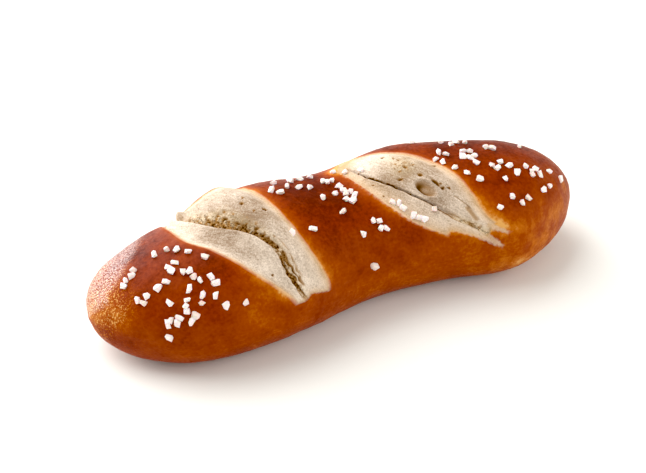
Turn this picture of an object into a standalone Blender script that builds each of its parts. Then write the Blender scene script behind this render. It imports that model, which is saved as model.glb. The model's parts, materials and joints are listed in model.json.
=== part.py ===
"""A pretzel stick: one baked loaf of lye dough with two slanting slashes torn open across its top.

The loaf lies along X with its underside on z = 0. A point of its surface is found from two numbers:
how far along the loaf it is, in millimetres from the middle, and its angle round the loaf in degrees,
0 at the top, positive down the front (towards -Y) and 180 at the underside.
"""
import bmesh
import bpy
import numpy as np
from mathutils import Matrix

NAME = "pretzel_stick"
MM = 0.001

# The loaf, in millimetres. The two rows after STATIONS give one value for each station.
LENGTH = 190.0
STATIONS = (-90.0, -60.0, -30.0, 0.0, 30.0, 60.0, 90.0)
HALF_WIDTH = (24.0, 27.2, 30.1, 27.2, 28.8, 29.3, 27.2)
SIDEWAYS = (0.4, -3.7, -0.4, 3.4, 4.1, -3.1, -0.8)
HEIGHT_TO_WIDTH = 0.74
WIDEST_LEVEL = 0.45  # share of the height at which the loaf is widest
TOP_ROUNDNESS = 2.15  # 2 is an ellipse, more is boxier
FOOT_ROUNDNESS = 2.6
FOOT_DROP = 1.12  # how far the lower half would reach below the table, which then cuts it flat
LEFT_END_BLUNTNESS = 6.5
RIGHT_END_BLUNTNESS = 4.8

# Each slash crosses the loaf on a slant. A row gives an angle round the loaf, then how far along it
# the near crust edge, the split between the two flaps of crumb and the far crust edge lie, and how
# far the far flap has swelled up there. The tear gives heights over the loaf across the slash, at
# shares from -1 at the near crust edge over 0 at the split to 1 at the far crust edge.
LEFT_SLASH = {
    "rows": (
        (-72.0, -62.0, -57.5, -50.0, 1.0),
        (-48.0, -64.6, -57.6, -34.0, 3.3),
        (-20.0, -62.8, -55.0, -29.0, 3.8),
        (0.0, -60.0, -49.2, -26.4, 3.2),
        (16.0, -53.8, -41.0, -24.4, 2.4),
        (35.0, -47.6, -34.8, -22.6, 1.8),
        (60.0, -39.2, -32.5, -19.4, 1.2),
        (78.0, -32.4, -29.4, -16.8, 0.4),
        (94.0, -28.0, -25.5, -18.0, 0.0),
    ),
    "tear": (
        (-1.0, 0.0),
        (-0.88, -0.7),
        (-0.5, -0.2),
        (-0.1, 0.9),
        (0.0, 0.6),
        (0.08, -2.4),
        (0.24, -0.3),
        (0.4, 0.2),
        (1.0, 0.0),
    ),
    "fades": (-78.0, -56.0, 74.0, 90.0),
}
RIGHT_SLASH = {
    "rows": (
        (-48.0, 5.0, 8.5, 13.5, 0.0),
        (-30.0, 5.8, 9.2, 21.0, 0.6),
        (-5.0, 7.3, 11.6, 34.0, 1.6),
        (20.0, 11.4, 19.8, 41.6, 2.4),
        (40.0, 16.2, 27.6, 43.9, 2.2),
        (60.0, 24.0, 35.6, 46.6, 1.2),
        (73.0, 38.5, 43.2, 52.0, 0.3),
        (90.0, 47.0, 50.0, 56.0, 0.0),
    ),
    "tear": (
        (-1.0, 0.3),
        (-0.86, -0.8),
        (-0.4, -0.5),
        (-0.08, 0.1),
        (0.0, -0.2),
        (0.07, -1.8),
        (0.16, 0.0),
        (0.4, 0.2),
        (1.0, 0.0),
    ),
    "fades": (-46.0, -26.0, 70.0, 88.0),
}
SWELL_PEAK = 0.66  # share across the far flap at which it has swelled most

# Rings from end to end: up to each slash edge or split in turn, and then to the far end.
RINGS_BETWEEN = (24, 8, 12, 13, 7, 12, 20)
AROUND = 48

# How far to either side of a point the loaf is followed to find its slope there.
NEAR_ALONG = 0.05
NEAR_ANGLE = 0.2

OUTSIDE = 2.0  # a share across a slash that lies on neither of its flaps

CRUST_COLOUR = (0.34, 0.075, 0.012)
CRUST_ROUGHNESS = 0.42


def smooth_curve(xs, ys, at):
    """A curve through the given points with the slopes that its neighbours suggest."""
    xs = np.asarray(xs, float)
    ys = np.asarray(ys, float)
    slopes = np.gradient(ys, xs)
    at = np.clip(at, xs[0], xs[-1])
    i = np.clip(np.searchsorted(xs, at, side="right") - 1, 0, len(xs) - 2)
    step = xs[i + 1] - xs[i]
    s = (at - xs[i]) / step
    before = (1 + 2 * s) * (1 - s) ** 2 * ys[i] + s * (1 - s) ** 2 * step * slopes[i]
    after = s * s * (3 - 2 * s) * ys[i + 1] + s * s * (s - 1) * step * slopes[i + 1]
    return before + after


def ease(share):
    """0 up to 0, 1 from 1, and a soft S between."""
    share = np.clip(share, 0.0, 1.0)
    return share * share * (3 - 2 * share)


def loaf_point(along, angle):
    """The plain loaf without its slashes."""
    half_width = smooth_curve(STATIONS, HALF_WIDTH, along)
    height = 2 * half_width * HEIGHT_TO_WIDTH
    widest = WIDEST_LEVEL * height
    bluntness = np.where(along < 0, LEFT_END_BLUNTNESS, RIGHT_END_BLUNTNESS)
    to_end = np.clip(np.abs(along) / (LENGTH / 2), 0.0, 1.0)
    cap = np.sqrt(1 - to_end**bluntness)
    sine = np.sin(np.radians(angle))
    cosine = np.cos(np.radians(angle))
    power = np.where(cosine >= 0, 2 / TOP_ROUNDNESS, 2 / FOOT_ROUNDNESS)
    across = np.sign(sine) * np.abs(sine) ** power * half_width * cap
    rise = np.abs(cosine) ** power * cap
    level = np.where(cosine >= 0, rise * (height - widest), -rise * widest * FOOT_DROP)
    sideways = smooth_curve(STATIONS, SIDEWAYS, along)
    return np.stack([along, sideways - across, np.maximum(widest + level, 0.0)], axis=-1)


def outward(along, angle):
    """The plain loaf's unit normal."""
    along_step = loaf_point(along + NEAR_ALONG, angle) - loaf_point(along - NEAR_ALONG, angle)
    round_step = loaf_point(along, angle + NEAR_ANGLE) - loaf_point(along, angle - NEAR_ANGLE)
    normal = np.cross(round_step, along_step)
    return normal / np.maximum(np.linalg.norm(normal, axis=-1, keepdims=True), 1e-9)


def slash_column(slash, column, angle):
    """One column of a slash's rows at each angle, closed smoothly round the underside."""
    rows = np.array(slash["rows"])
    turns = np.concatenate([rows[:, 0] - 360, rows[:, 0], rows[:, 0] + 360])
    return smooth_curve(turns, np.tile(rows[:, column], 3), angle)


def slash_lines(slash, angle):
    """Near edge, split and far edge at each angle."""
    return [slash_column(slash, column, angle) for column in (1, 2, 3)]


def slash_relief(slash, share, angle):
    """Height over the plain loaf at a share across the slash."""
    shares, heights = np.array(slash["tear"]).T
    back_shut, back_open, front_open, front_shut = slash["fades"]
    opening = ease((angle - back_shut) / (back_open - back_shut))
    opening = opening * ease((front_shut - angle) / (front_shut - front_open))
    hump = ease(share / SWELL_PEAK) * ease((1 - share) / (1 - SWELL_PEAK))
    height = smooth_curve(shares, heights, share) + hump * slash_column(slash, 4, angle)
    return np.where(np.abs(share) <= 1, height, 0.0) * opening


def ring_place(ring, angle):
    """How far along the loaf a ring crosses each angle, and its share across either slash."""
    ends = np.full_like(angle, LENGTH / 2)
    lines = [-ends, *slash_lines(LEFT_SLASH, angle), *slash_lines(RIGHT_SLASH, angle), ends]
    lines = np.array(lines)
    marks = np.concatenate([[0], np.cumsum(RINGS_BETWEEN)])
    part = np.clip(np.searchsorted(marks, ring, side="right") - 1, 0, len(marks) - 2)
    share = (ring - marks[part]) / (marks[part + 1] - marks[part])
    share = np.where(part == 0, 1 - np.cos(share * np.pi / 2), share)
    share = np.where(part == len(marks) - 2, np.sin(share * np.pi / 2), share)
    picked = np.arange(len(angle))
    along = lines[part, picked] * (1 - share) + lines[part + 1, picked] * share
    left = np.where(part == 1, share - 1, np.where(part == 2, share, OUTSIDE))
    right = np.where(part == 4, share - 1, np.where(part == 5, share, OUTSIDE))
    return along, left, right


def put_in_order(shape):
    """Sorts edges and faces by their corners, so that each run gives the same mesh."""
    count = len(shape.verts)
    shape.verts.index_update()
    for edge in shape.edges:
        first, second = sorted(vertex.index for vertex in edge.verts)
        edge.index = count * first + second
    shape.edges.sort()
    shape.faces.sort(key=lambda face: count * face.verts[0].index + face.verts[1].index)


def loaf_mesh():
    """A sphere with its poles at the loaf's ends, drawn out to the loaf with its slashes."""
    rings = sum(RINGS_BETWEEN)
    shape = bmesh.new()
    bmesh.ops.create_uvsphere(shape, u_segments=AROUND, v_segments=rings, radius=1.0)
    bmesh.ops.rotate(shape, verts=shape.verts, matrix=Matrix.Rotation(np.pi / 2, 3, "Y"))
    ball = np.array([vertex.co for vertex in shape.verts])
    ring = np.round(np.arccos(np.clip(-ball[:, 0], -1, 1)) / np.pi * rings)
    angle = np.degrees(np.arctan2(-ball[:, 1], ball[:, 2]))
    along, left, right = ring_place(ring, angle)
    height = slash_relief(LEFT_SLASH, left, angle) + slash_relief(RIGHT_SLASH, right, angle)
    points = loaf_point(along, angle) + outward(along, angle) * height[:, None]
    middle = (points.min(axis=0) + points.max(axis=0)) / 2
    points[:, :2] -= middle[:2]
    for vertex, point in zip(shape.verts, points * MM):
        vertex.co = point
    bmesh.ops.recalc_face_normals(shape, faces=shape.faces)
    put_in_order(shape)
    mesh = bpy.data.meshes.new(NAME)
    shape.to_mesh(mesh)
    shape.free()
    mesh.shade_smooth()
    return mesh


def crust_material():
    """Lye crust, browned dark."""
    material = bpy.data.materials.new("lye_crust")
    material.use_nodes = True
    shader = material.node_tree.nodes["Principled BSDF"]
    shader.inputs["Base Color"].default_value = (*CRUST_COLOUR, 1.0)
    shader.inputs["Roughness"].default_value = CRUST_ROUGHNESS
    shader.inputs["Metallic"].default_value = 0.0
    return material


def main():
    for old in list(bpy.data.objects):
        bpy.data.objects.remove(old)
    parts = bpy.data.collections.new(NAME + "_parts")
    bpy.context.scene.collection.children.link(parts)
    loaf = bpy.data.objects.new(NAME, loaf_mesh())
    loaf.data.materials.append(crust_material())
    parts.objects.link(loaf)


main()
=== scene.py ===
"""The looks of a pretzel stick: a baked lye loaf with two torn slashes, and the coarse salt on it.

A point of the loaf is found from two numbers: how far along the loaf it is, in millimetres from the
middle, and its angle round the loaf in degrees, 0 at the top, positive down the front (towards -Y)
and 180 at the underside. Lengths in the loaf's own functions are in millimetres.
"""

import json

import bmesh
import bpy
import numpy as np
from bpy.props import FloatProperty, FloatVectorProperty, IntProperty, PointerProperty
from mathutils import Matrix, Vector, noise

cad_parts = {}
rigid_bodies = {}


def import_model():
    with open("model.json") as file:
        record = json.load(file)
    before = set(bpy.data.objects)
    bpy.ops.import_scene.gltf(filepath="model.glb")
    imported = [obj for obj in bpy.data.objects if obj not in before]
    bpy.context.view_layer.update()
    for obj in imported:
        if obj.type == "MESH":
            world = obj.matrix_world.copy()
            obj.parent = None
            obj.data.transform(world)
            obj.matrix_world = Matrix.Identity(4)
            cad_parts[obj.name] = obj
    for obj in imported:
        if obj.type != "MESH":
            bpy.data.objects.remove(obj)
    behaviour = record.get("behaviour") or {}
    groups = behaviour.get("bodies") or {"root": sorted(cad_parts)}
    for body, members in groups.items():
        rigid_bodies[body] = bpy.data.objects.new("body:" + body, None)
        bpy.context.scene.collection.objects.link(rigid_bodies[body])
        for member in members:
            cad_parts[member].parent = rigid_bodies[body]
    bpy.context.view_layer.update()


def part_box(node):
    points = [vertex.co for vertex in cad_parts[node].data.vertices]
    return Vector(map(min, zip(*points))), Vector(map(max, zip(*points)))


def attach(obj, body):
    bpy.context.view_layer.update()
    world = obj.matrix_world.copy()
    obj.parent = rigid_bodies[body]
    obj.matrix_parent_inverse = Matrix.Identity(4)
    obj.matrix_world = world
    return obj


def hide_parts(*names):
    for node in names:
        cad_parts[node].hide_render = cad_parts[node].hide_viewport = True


bl_info = {
    "name": "Pretzel Stick",
    "version": (1, 0, 0),
    "blender": (4, 5, 0),
    "location": "View3D > Sidebar > Pretzel",
    "description": "Bakes a pretzel stick with torn slashes and strews it with coarse salt",
    "category": "Add Mesh",
}

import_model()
LOWEST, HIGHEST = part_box("pretzel_stick")
MM = 0.001

# The plain loaf. The two rows after STATIONS give one value for each station.
LENGTH = (HIGHEST.x - LOWEST.x) / MM
HEIGHT = HIGHEST.z / MM
STATIONS = (-90.0, -60.0, -30.0, 0.0, 30.0, 60.0, 90.0)
HALF_WIDTH = (24.0, 27.2, 30.1, 27.2, 28.8, 29.3, 27.2)
SIDEWAYS = (0.4, -3.7, -0.4, 3.4, 4.1, -3.1, -0.8)
HEIGHT_TO_WIDTH = 0.74
WIDEST_LEVEL = 0.45  # share of the height at which the loaf is widest
TOP_ROUNDNESS = 2.15  # 2 is an ellipse, more is boxier
FOOT_ROUNDNESS = 2.6
FOOT_DROP = 1.12  # how far the lower half would reach below the table, which then cuts it flat
LEFT_END_BLUNTNESS = 6.5
RIGHT_END_BLUNTNESS = 4.8
MM_PER_DEGREE = 0.5  # length of a degree round the loaf
SEED_STEP = (7.31, 3.77, 5.13)  # how far apart the random patterns of two seeds in a row are read

# How far to either side of a point the loaf is followed to find its slope there.
NEAR_ALONG = 0.05
NEAR_ANGLE = 0.2

# Each slash crosses the loaf on a slant, and a strip of torn crumb runs along the split between its
# near and its far flap.
#   rows       an angle, how far along the loaf the near crust edge, the split, the top of the torn
#              strip and the far crust edge lie there, and how far the far flap has swelled up
#   tear       heights across the slash, at shares from -1 at the near crust edge over 0 at the
#              split and 1 at the top of the torn strip to 2 at the far crust edge
#   fades      angles between which the slash opens at the back, and closes again at the front
#   torn_from  angle past which the tear's heights show
#   rough      angles between which the strip turns rough
#   healed     angles between which the split heals over
#    crack      width of the crack's painted shade at the strip's foot, low on the front and on top,
#               and how dark it is low on the front
#    dried  how grey the near and the far flap look, partly dried skin and partly painted shade,
#               the angle below which they do, and how much of it the far flap keeps above that angle
#   toasted    how far the crumb is browned from the near edge, the far edge and the ends
#   fringed    how far the crust is paler beside the near and the far edge, on top and low down
#   seeds      of its lines and of its other random patterns
#   back_end, front_end   curves of along and angle where the crumb ends
LEFT_SLASH = {
    "rows": (
        (-72.0, -62.0, -57.5, -54.0, -50.0, 1.0),
        (-48.0, -61.6, -57.6, -51.0, -34.0, 3.3),
        (-20.0, -61.3, -55.0, -47.6, -29.3, 3.8),
        (0.0, -59.6, -49.2, -41.9, -27.0, 3.2),
        (16.0, -53.8, -41.0, -36.9, -25.2, 2.4),
        (35.0, -47.6, -34.8, -32.0, -23.2, 1.8),
        (60.0, -39.2, -32.5, -29.3, -20.0, 1.2),
        (78.0, -32.4, -29.4, -27.2, -17.2, 0.4),
        (94.0, -28.0, -25.5, -24.0, -18.0, 0.0),
    ),
    "tear": (
        (-1.0, 0.0), (-0.93, -0.55), (-0.75, -0.6), (-0.4, -0.1), (-0.16, 0.8), (-0.06, 1.0),
        (0.0, 0.55), (0.1, -1.7), (0.22, -1.9), (0.45, -0.8), (0.75, -0.2), (0.95, 0.15),
        (1.04, 0.3), (1.25, 0.15), (2.0, 0.0),
    ),
    "fades": (-78.0, -56.0, 74.0, 90.0),
    "healed": (84.0, 92.0),
    "rough": (-90.0, -70.0),
    "torn_from": -90.0,
    "crack": (0.5, 2.2, 0.55),
    "dried": (0.75, 0.9, -16.0, 0.45),
    "toasted": (0.7, 1.8, 1.2),
    "fringed": ((1.2, 3.2), (2.2, 3.4)),
    "seeds": (1, 30),
    "back_end": (
        (-66.0, -62.0), (-58.0, -58.0), (-53.0, -51.0), (-49.5, -47.0), (-46.0, -41.0),
        (-42.0, -37.0), (-36.0, -34.5), (-30.0, -32.0),
    ),
    "front_end": (
        (-34.0, 84.0), (-28.4, 86.5), (-26.6, 85.5), (-25.0, 82.5), (-21.0, 84.0), (-16.0, 87.0),
    ),
}
RIGHT_SLASH = {
    "rows": (
        (-48.0, 5.0, 8.5, 9.5, 13.5, 0.0),
        (-30.0, 5.8, 9.2, 10.4, 21.0, 0.6),
        (-5.0, 7.3, 11.6, 12.6, 34.0, 1.6),
        (20.0, 11.4, 20.0, 21.0, 41.6, 2.4),
        (40.0, 16.2, 27.6, 29.1, 43.9, 2.2),
        (60.0, 24.0, 35.6, 39.6, 46.4, 1.2),
        (73.0, 32.5, 43.2, 47.6, 51.5, 0.3),
        (90.0, 44.0, 50.0, 53.0, 56.0, 0.0),
    ),
    "tear": (
        (-1.0, 0.1), (-0.93, -0.6), (-0.7, -0.75), (-0.3, -0.45), (-0.08, 0.0), (0.0, -0.35),
        (0.25, -1.9), (0.6, -1.0), (1.0, 0.1), (1.2, 0.25), (2.0, 0.0),
    ),
    "fades": (-46.0, -26.0, 70.0, 88.0),
    "healed": (52.0, 63.0),
    "rough": (50.0, 64.0),
    "torn_from": -24.0,
    "crack": (0.6, 0.75, 1.0),
    "dried": (0.75, 1.0, -8.0, 0.2),
    "toasted": (4.0, 2.2, 2.4),
    "fringed": ((3.2, 1.4), (1.8, 4.0)),
    "seeds": (5, 60),
    "back_end": (
        (4.0, -14.0), (7.5, -24.0), (10.0, -36.0), (13.0, -42.0), (19.5, -44.0), (30.0, -42.0),
    ),
    "front_end": (
        (25.0, 72.0), (29.5, 71.5), (31.2, 71.5), (33.0, 68.6), (35.0, 69.4), (38.0, 72.5),
        (41.3, 76.0), (44.7, 79.5), (46.2, 77.0), (47.0, 71.0), (49.0, 66.0),
    ),
}
SWELL_PEAK = 0.66  # share across the far flap at which it has swelled most
LEAST_GAP = 0.4  # between one line of a slash and the next

LIP_HEIGHT = 0.35  # how far the crust curls up at a near edge
LIP_REACH = 1.6  # and how far back from it
FAR_FRAY = 0.45  # how far crust and crumb run into each other at a far edge

# How a slash's lines stray, in the order of its rows: size of the bends, and share of the wander.
# Smaller bends are added at half strength.
EDGE_WANDER = ((5.0, 0.8), (2.4, 0.9), (2.0, 1.2), (6.0, 0.9))
TIMES_SMALLER = 2.7
SMALLER_SEED = 9

# Random patterns: size of the bumps in mm, and seed. A slash adds a seed of its own to the first nine.
PATTERNS = {
    "pits": (1.2, 20),
    "furrows": (0.6, 21),
    "shreds": (1.7, 22),
    "fine_shreds": (0.8, 23),
    "bulges": (5.0, 24),
    "crumb_ends": (1.6, 25),
    "clods": (1.2, 26),
    "crack": (1.1, 27),
    "fray": (0.9, 28),
    "kneaded": (24.0, 91),
    "fingered": (9.0, 92),
    "wrinkled": (3.5, 93),
    "finely_wrinkled": (1.7, 94),
    "baked": (26.0, 95),
    "blotched": (8.0, 96),
    "salted": (16.0, 97),
    "tongue_edge": (1.0, 98),
    "flaked": (4.0, 99),
}

# Soft steps from 0 to 1: where each starts, and where it's full.
STEPS = {
    # Angles round the loaf. The first is counted to either side.
    "lines_stray": (100.0, 90.0),
    "underside": (-120.0, -170.0),
    "tip_from_back": (-115.0, -55.0),
    "salt_from_back": (-112.0, -92.0),
    "salt_from_top": (-52.0, -60.0),
    "pits": (-48.0, -28.0),
    "torn_colour": (-42.0, -12.0),
    "dark_pits": (-34.0, -10.0),
    "dark_crack": (-24.0, -10.0),
    "wide_strip": (-20.0, -6.0),
    "fewer_pits": (-2.0, -18.0),
    "darker_back": (20.0, -20.0),
    "wide_crack": (32.0, 6.0),
    "less_dried_and_shade": (8.0, 28.0),
    "hardly_dried_and_shade": (38.0, 68.0),
    "stringy": (20.0, 45.0),
    "low_fringe": (30.0, 55.0),
    "front_of_left_end": (60.0, 110.0),
    # Millimetres along the loaf.
    "left_end": (-78.0, -90.0),
    "grainy_tip": (-74.0, -88.0),
    "glazed_tip": (-62.0, -80.0),
    "past_left_end": (-80.0, -35.0),
    "right_end": (35.0, 65.0),
    # Millimetres inside the crumb's ends or edges, and over the table.
    "tear": (-3.6, -0.6),
    "bulges": (0.3, 1.8),
    "dried": (0.8, 4.8),
    "relief": (0.0, 6.0),
    # Shares of the loaf's height.
    "pale_low": (0.85, 0.25),
    "right_end_low": (0.8, 0.5),
    "streaks": (0.5, 0.2),
    # Shares across the torn strip and of a hole's size, and the height of a pattern.
    "torn_foot": (0.9, 0.2),
    "bowl": (1.15, 0.75),
    "bowl_wall": (0.1, 0.7),
    "salted": (-0.1, 0.1),
}

# Pale tongues of crumb beyond the right slash's lower end: along and angle of root and tip, and width.
TONGUES = ((46.5, 68.0, 53.6, 77.0, 2.0), (45.4, 78.5, 50.8, 88.0, 3.0))

# Grooves between the torn shreds at that end, likewise, and depth.
GROOVES = (
    (37.6, 41.1, 41.4, 51.4, 0.5, 0.5),
    (40.6, 52.0, 42.6, 61.5, 2.2, 0.6),
    (39.6, 64.0, 41.4, 67.5, 1.9, 0.6),
)

# Holes blown by gas: along, angle, length, width, degrees turned from along the loaf, and depth.
PORES = (
    (29.3, 29.6, 8.0, 4.0, 60.0, 2.4),
    (33.1, 28.0, 3.8, 1.4, 70.0, 0.9),
    (29.6, 18.2, 1.7, 1.3, 50.0, 0.6),
    (26.7, 7.5, 1.6, 1.1, 60.0, 0.9),
    (22.9, 15.0, 2.0, 1.1, 15.0, 0.9),
    (34.6, 33.0, 1.5, 1.1, 0.0, 0.8),
    (34.5, 29.5, 1.0, 0.8, 0.0, 0.6),
    (36.7, 34.0, 1.2, 0.9, 30.0, 0.6),
    (22.5, -9.0, 1.3, 0.9, 0.0, 0.8),
    (37.1, 9.0, 1.4, 1.0, 0.0, 0.5),
    (26.3, -1.0, 0.8, 0.7, 0.0, 0.5),
    (24.4, 2.0, 0.8, 0.7, 0.0, 0.5),
    (24.2, 9.0, 0.9, 0.7, 0.0, 0.5),
    (30.9, -2.0, 0.8, 0.7, 0.0, 0.5),
    (29.5, 8.0, 0.9, 0.7, 0.0, 0.5),
    (25.4, -4.0, 0.8, 0.7, 0.0, 0.5),
    (13.4, 9.0, 0.8, 0.7, 0.0, 0.5),
    (14.5, 22.0, 0.8, 0.7, 0.0, 0.4),
    (-37.1, -2.0, 1.3, 0.9, 20.0, 0.8),
    (-31.4, 9.0, 1.9, 1.1, 50.0, 1.0),
    (-35.6, -6.0, 0.9, 0.7, 0.0, 0.5),
    (-34.9, 7.0, 0.9, 0.7, 0.0, 0.4),
    (-37.5, 56.0, 1.0, 0.7, 0.0, 0.5),
)

# Round spots: along, angle, reach and strength. The crumb is full of pinholes, the dough was pulled
# up at the back of the left slash, and the crust is darker or, where negative, lighter.
PINHOLES = ((26.5, 4.0, 5.0, 0.6),)
LUMPS = ((-54.3, -44.0, 2.6, 3.4), (-66.0, -42.0, 9.0, 1.3))
DARKER_PATCHES = (
    (-47.0, 70.0, 10.0, -0.2),
    (-46.0, 92.0, 9.0, -0.06),
    (-14.0, 4.0, 14.0, 0.16),
    (-90.0, 88.0, 9.0, 0.1),
    (44.0, 96.0, 22.0, -0.1),
)

# The dark wall of a wide hole, and the whole of a narrow one, is painted shade.
WIDE_PORE = 3.0  # a hole at least this wide is lit, and only its wall looks dark
BETWEEN_SLASHES = -5.0  # crumb left of this was pulled from the left slash's split
BOX_STEPS = 400  # places along and round the loaf at which its box is measured

# Crust stretched pale where the right slash runs out at the back: along and angle of both ends, reach.
STRETCHED_CRUST = (6.5, -22.0, 15.0, -40.0, 4.5)

# The angle down to which the left end is glazed: what it is at first, how much lower it gets for each
# mm past a place along the loaf, in rows of place and growth, and where it stops.
GLAZE_LOWEST = -24.0
GLAZE_GROWTH = ((-67.0, 2.4), (-89.0, 16.0))
GLAZE_MOST = 44.0

# Rings from end to end: up to each line of either slash in turn, and then to the far end.
RINGS_BETWEEN = (60, 38, 40, 60, 56, 32, 18, 70, 72)
SEGMENTS = 222

# Shares of the segments, from the underside over the back and the front, and the angles they reach.
SEGMENT_SHARES = (-0.5, -0.41, 0.38, 0.5)
SEGMENT_ANGLES = (-180.0, -84.0, 98.0, 180.0)

SENSOR_WIDTH = 36.0  # mm

# The photograph's frame, and where the salt grains lie in it.
FRAME_WIDTH = 646
FRAME_HEIGHT = 473
SALT_ON_LEFT_END = (
    (154, 255), (167, 250), (177, 250), (188, 252), (205, 257), (134, 271), (132, 276), (126, 281),
    (124, 286), (168, 268), (175, 263), (172, 271), (183, 272), (190, 271), (194, 277), (200, 280),
    (211, 277), (216, 283), (166, 282), (158, 288), (189, 289), (216, 295), (138, 300), (147, 296),
    (144, 303), (170, 303), (187, 300), (186, 306), (187, 311), (203, 295), (202, 303), (226, 305),
    (246, 302), (179, 317), (196, 315), (192, 321), (168, 324), (171, 320), (177, 323), (169, 337),
)
SALT_IN_MIDDLE = (
    (274, 184), (271, 191), (280, 193), (287, 187), (290, 182), (299, 180), (310, 178), (299, 188),
    (310, 188), (323, 198), (327, 183), (313, 229), (333, 173), (345, 173), (323, 182), (332, 181),
    (339, 187), (343, 191), (346, 194), (351, 192), (354, 196), (346, 200), (352, 201), (335, 194),
    (343, 212), (373, 221), (379, 221), (386, 228), (381, 228), (363, 234), (374, 266),
)
SALT_ON_CRUMB = (
    (292, 233), (361, 171), (393, 203), (399, 203), (403, 208), (413, 216), (419, 218), (424, 219),
    (434, 209),
)
SALT_ON_RIGHT_END = (
    (412, 143), (441, 143), (451, 145), (456, 143), (465, 143), (439, 153), (446, 155), (436, 160),
    (443, 162), (455, 168), (467, 173), (480, 179), (463, 152), (463, 157), (470, 152), (474, 156),
    (470, 158), (476, 163), (486, 148), (492, 149), (492, 166), (497, 168), (500, 162), (509, 166),
    (505, 179), (519, 147), (525, 167), (517, 173), (531, 172), (535, 170), (532, 175), (540, 175),
    (549, 172), (560, 180), (549, 186), (543, 190), (528, 198), (522, 203), (512, 196), (500, 207),
)

# The salt grains: how many kinds of crystal there are, how far a corner is chipped off, half a
# grain's thickness, how far a grain leans in radians, and its least and most size on each axis.
# Lengths are shares of a middling grain. A pick past the last kind starts again at the first.
CRYSTAL_KINDS = 8
CHIPPED = 0.13
HALF_THICKNESS = 0.33
TILT = 0.5
FULL_TURN = 6.283
SMALLEST = (0.7, 0.75, 0.75)
LARGEST = (1.1, 1.1, 1.1)
LAST_PICK = 99
CRYSTAL_SEED = 11
SIZE_SEED = 3
KIND_SEED = 5
MILKY_SEED = 9

# The soft lamps, which all look at the loaf: place, width and height, in metres.
LAMPS = {
    "key": ((-0.4, 0.56, 0.81), 1.3, 1.3),
    "rim": ((-0.48, 1.0, 0.24), 1.2, 0.36),
    "fill": ((0.6, -0.68, 0.56), 1.0, 0.7),
}


def linear(hex_colour):
    """An sRGB hex colour as linear red, green and blue."""
    values = [int(hex_colour[i : i + 2], 16) / 255 for i in (1, 3, 5)]
    return tuple(v / 12.92 if v <= 0.04045 else ((v + 0.055) / 1.055) ** 2.4 for v in values)


def colour(name, description, hex_colour):
    """A colour property."""
    tint = linear(hex_colour)
    return FloatVectorProperty(
        name=name, description=description, subtype="COLOR", size=3, min=0, max=1, default=tint
    )


def length(name, description, millimetres):
    """A length property, given in millimetres."""
    return FloatProperty(name=name, description=description, unit="LENGTH", default=millimetres * MM)


def number(name, description, value, subtype="NONE"):
    """A property that is a plain number, an angle in radians or a power in watts."""
    return FloatProperty(name=name, description=description, subtype=subtype, default=value)


class LoafSettings(bpy.types.PropertyGroup):
    """Relief and colours of the loaf."""

    lumps: length("Lumps", "Unevenness left by shaping the dough by hand", 0.45)
    wrinkles: length("Wrinkles", "Fine unevenness of the baked crust", 0.12)
    skin: length("Crust thickness", "How far the crust stands over the crumb at a slash", 0.35)
    ragged: length("Ragged tear", "Height of the torn crumb's shreds", 0.8)
    wander: length("Edge wander", "How far a crust edge strays from its smooth line", 0.35)
    crust_dark: colour("Dark crust", "Crust at its darkest", "#5E1C04")
    crust_red: colour("Chestnut crust", "Well browned crust", "#842F06")
    crust_brown: colour("Brown crust", "Crust of middling bake", "#9C4308")
    crust_orange: colour("Orange crust", "Lightly browned crust", "#BC6818")
    crust_gold: colour("Golden crust", "Palest crust, at the slashes", "#DCA45C")
    crumb_cream: colour("Cream crumb", "Fresh crumb", "#F3E2D0")
    # The dried crumb's grey also stands for painted shade on the flaps.
    crumb_grey: colour("Dried crumb", "Crumb dried to a greyish skin", "#9A8067")
    crumb_torn: colour("Torn crumb", "Fresh shreds in the tear", "#E6CF9F")
    # The browned crumb colour also paints the shade in pits, cracks and holes.
    crumb_brown_and_pit_shade: colour("Browned crumb", "Clods in the tear that browned", "#9A6E3C")
    # The toasted crumb colour also tints the painted shade in the holes.
    crumb_toast_and_hole_shade: colour("Toasted crumb", "Crumb browned beside the crust", "#C99B5E")
    # The deep crumb colour is painted shade, deep in the tear and in tiny pores.
    crumb_deep_shade: colour("Deep crumb", "Crumb down in the tear", "#5A3612")


class SaltSettings(bpy.types.PropertyGroup):
    """Size and strewing of the coarse salt."""

    grain: length("Grain", "Length of a middling grain", 2.75)
    sunk: number("Sunk", "Share of a grain that the crust holds", 0.2)
    strewn: number("Strewn", "Grains for each square metre where salt fell by itself", 22000.0)
    apart: length("Apart", "Least distance between grains that fell by themselves", 3.4)
    seed: IntProperty(name="Seed", description="Seed of the strewing", default=7)
    clear: colour("Clear salt", "Grain through which the crust shows", "#E8D4CA")
    white: colour("White salt", "Dry white grain", "#F7EBE8")


class StageSettings(bpy.types.PropertyGroup):
    """Camera, floor and light."""

    azimuth: number("Azimuth", "Camera's turn round the loaf", np.radians(-25.638), "ANGLE")
    elevation: number("Elevation", "Camera's height over the horizon", np.radians(36.0), "ANGLE")
    distance: length("Distance", "From camera to the middle of the view", 554.03)
    lens: number("Lens", "Focal length in millimetres", 85.0)
    aim_height: length("Aim height", "Height of the point the frame is measured from", 20.0)
    aim_right: length("Aim right", "Middle of the view, right of that point", -5.637)
    aim_up: length("Aim up", "Middle of the view, above that point", 0.785)
    floor_size: length("Floor", "Side of the square floor", 4000.0)
    floor_gap: length("Floor gap", "How far the floor lies below the loaf's foot", 0.2)
    floor_white: colour("Floor white", "White of the floor", "#F2F2EE")
    floor_glow: number("Floor glow", "Light that the floor itself gives", 0.02)
    sky: number("Sky", "Even light from all round", 0.55)
    sky_tint: colour("Sky tint", "Warmth of the even light", "#FFFDF6")
    key: number("Key light", "Watts of the high soft lamp", 17.0, "POWER")
    rim: number("Rim light", "Watts of the low soft lamp", 10.0, "POWER")
    fill: number("Fill light", "Watts of the front lamp", 4.4, "POWER")
    black: number("Black", "Tone of the picture below which it turns black", 0.015)


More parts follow.
